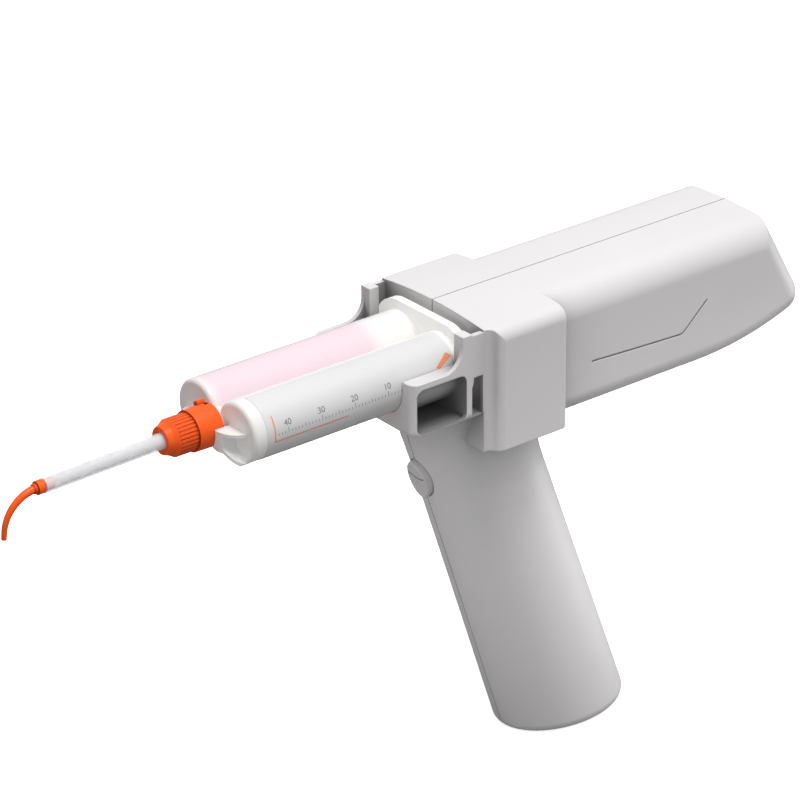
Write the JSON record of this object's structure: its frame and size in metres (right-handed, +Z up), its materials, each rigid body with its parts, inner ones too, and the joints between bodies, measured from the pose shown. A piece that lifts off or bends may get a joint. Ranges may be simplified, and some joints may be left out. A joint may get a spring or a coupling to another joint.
{
  "type": "dental impression mixer",
  "caption": "Hand-held battery dispenser that squeezes a twin-barrel paste cartridge through a static mixing tube with a curved tip.",
  "frame": {"origin": "middle of the flat base of the grip, on the housing's seam", "axes": "+Z up, -Y towards the mixing tip along the cartridge's axis, X = 0 the seam between the housing halves"},
  "size_m": [0.0706, 0.3713, 0.2041],
  "materials": {
    "housing": "satin light grey-white moulding",
    "button": "satin",
    "orange": "glossy orange",
    "clear": "translucent polypropylene",
    "tube": "translucent polypropylene",
    "label": "coated film",
    "base_paste": "soft white paste",
    "pink_paste": "soft pink paste",
    "seal": "polyethylene",
    "steel": "ground",
    "zinc": "zinc plated",
    "bronze": "sintered bronze",
    "brass": "turned brass",
    "plate": "milled",
    "acetal": "moulded acetal",
    "board": "solder-masked laminate",
    "cell": "sleeved steel can",
    "nickel": "nickel strip",
    "black": "moulded"
  },
  "bodies": {
    "gun": {"left_housing": "housing", "right_housing": "housing", "case_screws": "zinc", "cartridge_body": "clear", "cartridge_label": "label", "base_paste": "base_paste", "catalyst_paste": "pink_paste", "mixer_tube": "tube", "mixer_elements": "seal", "bearing_plate": "plate", "left_bush": "bronze", "right_bush": "bronze", "front_race": "steel", "rear_race": "steel", "rear_plate": "plate", "gearbox": "zinc", "gearbox_screws": "zinc", "motor": "zinc", "front_cell": "cell", "rear_cell": "cell", "battery_holder": "black", "series_contact": "nickel", "front_contact": "nickel", "rear_contact": "nickel", "control_board": "board", "charge_socket": "black", "rocker_pin": "steel", "button_frame": "acetal", "switch_board": "board", "forward_switch": "black", "reverse_switch": "black"},
    "rams": {"left_ram": "steel", "right_ram": "steel", "left_disc": "plate", "right_disc": "plate", "ram_yoke": "plate", "drive_nut": "brass", "base_piston": "seal", "catalyst_piston": "seal"},
    "screw": {"lead_screw": "steel", "screw_gear": "acetal"},
    "pinion": {"motor_pinion": "brass", "motor_shaft": "steel"},
    "cap": {"mixer_cap": "orange"},
    "tip": {"intraoral_tip": "orange"},
    "button": {"rocker_button": "button"}
  },
  "joints": [
    {"name": "ram_slide", "type": "slide", "parent": "gun", "child": "rams", "axis": [0, -1, 0], "range_m": [0, 0.074], "deforming": ["base_paste", "catalyst_paste"]},
    {"name": "screw_spin", "type": "hinge", "parent": "gun", "child": "screw", "pos_m": [0, 0, 0.1845], "axis": [0, 1, 0], "range_deg": [0, 3331]},
    {"name": "motor_spin", "type": "hinge", "parent": "gun", "child": "pinion", "pos_m": [0, 0, 0.167], "axis": [0, 1, 0], "range_deg": [-5922, 0]},
    {"name": "mixer_lock", "type": "hinge", "parent": "gun", "child": "cap", "pos_m": [0, -0.1829, 0.1845], "axis": [0, 1, 0], "range_deg": [0, 90]},
    {"name": "tip_swivel", "type": "hinge", "parent": "gun", "child": "tip", "pos_m": [0, -0.24699, 0.18332], "axis": [0, 0.9997, 0.0227], "continuous": true},
    {"name": "button_rock", "type": "hinge", "parent": "gun", "child": "button", "pos_m": [0, -0.06599, 0.13126], "axis": [1, 0, 0], "range_deg": [-2.2, 2.2], "stiffness_Nm_per_rad": 0.45}
  ],
  "couplings": [
    {"joint": "screw_spin", "follows": "ram_slide", "rad_per_m": 785.4},
    {"joint": "motor_spin", "follows": "ram_slide", "rad_per_m": -1396.3}
  ]
}
